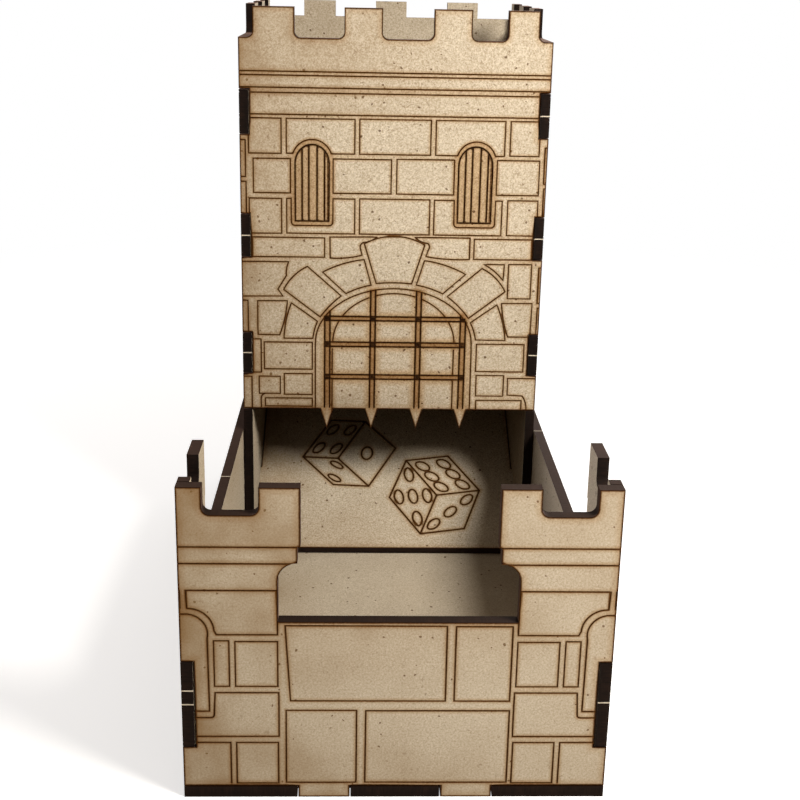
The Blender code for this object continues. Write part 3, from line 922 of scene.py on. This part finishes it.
class DICETOWER_OT_materials(bpy.types.Operator):
    """Make the board's finishes"""

    bl_idname = "dice_tower.materials"
    bl_label = "Finishes"

    def execute(self, context):
        colours = context.scene.dice_tower_colours
        # the smoke levels also paint shade, darkening the left of the faces, the tray's narrow battlements
        # and the boards' backs
        face_material(FINISHES["Face"], colours, contrast=0.85, smoke=0.7, right_smoke_and_shade=0.15, scored=True)
        face_material(FINE_SHEET, colours, contrast=0.55, smoke=0.85, right_smoke_and_shade=0.4, scored=True)
        face_material(FINISHES["Back"], colours, contrast=0.7, smoke=0.3, right_smoke_and_shade=0.15, scored=False)
        cut_material(FINISHES["Cut edge"], colours)
        nick_material(FINISHES["Nick"], colours)
        return {"FINISHED"}


class DICETOWER_OT_tray(bpy.types.Operator):
    """Dress the base and the walls of the tray"""

    bl_idname = "dice_tower.tray"
    bl_label = "Tray"

    def execute(self, context):
        dress("base_plate", UP, sheet=FINE_SHEET)
        dress("tray_front_wall", FRONT, front_wall_scores(), sheet=FINE_SHEET)
        nicks = ((REAR, 26.3), (REAR, 30.1), (22, 49.0), (-REAR, 26.3), (-20, 0.0))
        dress("tray_left_wall", LEFT, tray_side_scores(POST, REAR, 2), nicks, FINE_SHEET)
        nicks = ((-REAR, 27.0), (18, 49.0), (REAR, 26.3), (20, 0.0))
        dress("tray_right_wall", RIGHT, tray_side_scores(-REAR, -POST, 3), nicks, FINE_SHEET)
        return {"FINISHED"}


class DICETOWER_OT_tower(bpy.types.Operator):
    """Dress the four panels of the tower"""

    bl_idname = "dice_tower.tower"
    bl_label = "Tower"

    def execute(self, context):
        dress("tower_front_panel", FRONT, tower_front_scores())
        nicks = ((-TOWER_FACE, 116.3), (-TOWER_FACE, 76.4), (-REAR, 156.2), (-REAR, 76.4))
        dress("tower_left_panel", LEFT, side_scores(-REAR, -TOWER_FACE, 7), nicks)
        nicks = [(TOWER_FACE, level) for level in (156.2, 116.3, 76.4)] + [(REAR, 156.2), (REAR, 116.3)]
        dress("tower_right_panel", RIGHT, side_scores(TOWER_FACE, REAR, 8), nicks)
        dress("tower_back_panel", BACK, back_scores())
        return {"FINISHED"}


class DICETOWER_OT_slopes(bpy.types.Operator):
    """Dress the ramp and the two baffles inside the tower"""

    bl_idname = "dice_tower.slopes"
    bl_label = "Ramp and baffles"

    def execute(self, context):
        dress("exit_ramp", FORWARD_SLOPE, ramp_scores(), boldness=1.5)
        dress("lower_baffle", BACKWARD_SLOPE)
        dress("upper_baffle", FORWARD_SLOPE)
        return {"FINISHED"}


def paper_material():
    """White paper, matt: bright round the object, where it shows the shadow, and pure white further off."""
    material = bpy.data.materials.new("White paper sweep")
    material.use_nodes = True
    tree = material.node_tree
    tree.nodes.clear()
    paper = add_node(tree, "ShaderNodeBsdfDiffuse", {"Color": linear("f0f0f0")})
    lift = add_node(tree, "ShaderNodeEmission", {"Strength": 0.55})
    near = add_node(tree, "ShaderNodeAddShader", {0: paper, 1: lift})
    white = add_node(tree, "ShaderNodeEmission", {"Strength": 1.0})
    place = add_node(tree, "ShaderNodeTexCoord").outputs["Object"]
    away = add_node(tree, "ShaderNodeVectorMath", {0: place}, operation="LENGTH")
    fading = {"Value": away, 1: 0.22, 2: 0.55}
    far = add_node(tree, "ShaderNodeMapRange", fading, interpolation_type="SMOOTHSTEP")
    seen = add_node(tree, "ShaderNodeMixShader", {0: far, 1: near, 2: white})
    # to the object's own faces the paper is without that lift, so that their undersides stay in shade
    dim = add_node(tree, "ShaderNodeBsdfDiffuse", {"Color": linear("cfcdcb")})
    camera = add_node(tree, "ShaderNodeLightPath").outputs["Is Camera Ray"]
    mixed = add_node(tree, "ShaderNodeMixShader", {0: camera, 1: dim, 2: seen})
    add_node(tree, "ShaderNodeOutputMaterial", {"Surface": mixed})
    return material


def area_lamp(name, place, aim, spans, watts, colour):
    """An oval lamp of the given width and height, aimed at a point."""
    lamp = bpy.data.lights.new(name, "AREA")
    lamp.shape = "ELLIPSE"
    lamp.size, lamp.size_y = spans
    lamp.energy = watts
    lamp.color = linear(colour)[:3]
    lamp.cycles.max_bounces = 0  # nothing is thrown back inside the tower, which stays dark
    item = bpy.data.objects.new(name, lamp)
    item.location = place
    item.rotation_euler = (Vector(aim) - Vector(place)).to_track_quat("-Z", "Y").to_euler()
    bpy.context.collection.objects.link(item)


class DICETOWER_OT_stage(bpy.types.Operator):
    """Set the floor, the lamps and the camera"""

    bl_idname = "dice_tower.stage"
    bl_label = "Stage"

    def execute(self, context):
        scene = context.scene
        scene.view_settings.view_transform = "Standard"
        mesh = bpy.data.meshes.new("floor")
        reach = 3.0
        corners = ((-reach, -reach, 0), (reach, -reach, 0), (reach, reach, 0), (-reach, reach, 0))
        mesh.from_pydata(corners, [], [(0, 1, 2, 3)])
        floor = bpy.data.objects.new("floor", mesh)
        context.collection.objects.link(floor)
        mesh.materials.append(paper_material())
        world = bpy.data.worlds.new("Studio")
        scene.world = world
        world.use_nodes = True
        tree = world.node_tree
        tree.nodes.clear()
        aim = add_node(tree, "ShaderNodeTexCoord").outputs["Generated"]
        height = add_node(tree, "ShaderNodeSeparateXYZ", {0: aim}).outputs["Z"]
        ceiling = add_node(tree, "ShaderNodeMapRange", {"Value": height, 1: 0.0, 2: 0.8, 3: 0.03, 4: 0.3})
        soft = add_node(tree, "ShaderNodeBackground", {"Color": linear("f6e8d8"), "Strength": ceiling})
        white = add_node(tree, "ShaderNodeBackground", {"Color": (1, 1, 1, 1)})
        seen = add_node(tree, "ShaderNodeLightPath").outputs["Is Camera Ray"]
        mixed = add_node(tree, "ShaderNodeMixShader", {0: seen, 1: soft, 2: white})
        add_node(tree, "ShaderNodeOutputWorld", {"Surface": mixed})
        area_lamp("Key", (0.22, -0.235, 0.325), (0, 0, 0.08), (0.13, 0.13), 2.0, "fffaf2")
        # what the white paper throws up at the front, where the lamps' own bounces are left out
        area_lamp("Paper bounce", (0.12, -0.42, 0.012), (0, 0, 0.08), (0.4, 0.02), 0.5, "fffaf2")
        area_lamp("Left fill", (-0.9, 0.25, 0.22), (0, 0.03, 0.08), (0.6, 0.6), 5.0, "fbfaff")
        area_lamp("Rear light", (0.3, 0.9, 0.25), (0, 0.03, 0.08), (0.6, 0.6), 5.0, "ffffff")
        # the photograph's viewpoint and its crop: focal length 1194.1 of the picture's 800 pixels
        camera = bpy.data.cameras.new("Camera")
        camera.sensor_width = 36.0
        camera.lens = 1194.1 / 800 * camera.sensor_width
        camera.shift_y = -0.125
        camera.clip_start = 0.01
        item = bpy.data.objects.new("Camera", camera)
        context.collection.objects.link(item)
        pitch, yaw, roll = 0.2683, -0.0321, 0.0203
        turn = Matrix.Rotation(yaw, 4, "Z")
        turn @= Matrix.Rotation(math.pi / 2 - pitch, 4, "X")
        turn @= Matrix.Rotation(roll, 4, "Z")
        item.matrix_world = Matrix.Translation((-0.00943, -0.36276, 0.19963)) @ turn
        scene.camera = item
        return {"FINISHED"}


class DICETOWER_PT_panel(bpy.types.Panel):
    """Lists the steps that dress the tower"""

    bl_idname = "DICETOWER_PT_panel"
    bl_label = "Dice tower"
    bl_space_type = "VIEW_3D"
    bl_region_type = "UI"
    bl_category = "Dice tower"

    def draw(self, context):
        for group in (context.scene.dice_tower_marks, context.scene.dice_tower_colours):
            for name in group.__annotations__:
                self.layout.prop(group, name)
        for step in STEPS:
            self.layout.operator(step.bl_idname)


STEPS = (
    DICETOWER_OT_materials,
    DICETOWER_OT_tray,
    DICETOWER_OT_tower,
    DICETOWER_OT_slopes,
    DICETOWER_OT_stage,
)
CLASSES = (DiceTowerMarks, DiceTowerColours, *STEPS, DICETOWER_PT_panel)


def register():
    for item in CLASSES:
        bpy.utils.register_class(item)
    bpy.types.Scene.dice_tower_marks = bpy.props.PointerProperty(type=DiceTowerMarks)
    bpy.types.Scene.dice_tower_colours = bpy.props.PointerProperty(type=DiceTowerColours)


def unregister():
    del bpy.types.Scene.dice_tower_colours
    del bpy.types.Scene.dice_tower_marks
    for item in reversed(CLASSES):
        bpy.utils.unregister_class(item)


def main():
    register()
    bpy.ops.dice_tower.materials()
    bpy.ops.dice_tower.tray()
    bpy.ops.dice_tower.tower()
    bpy.ops.dice_tower.slopes()
    bpy.ops.dice_tower.stage()


if __name__ == "__main__":
    main()
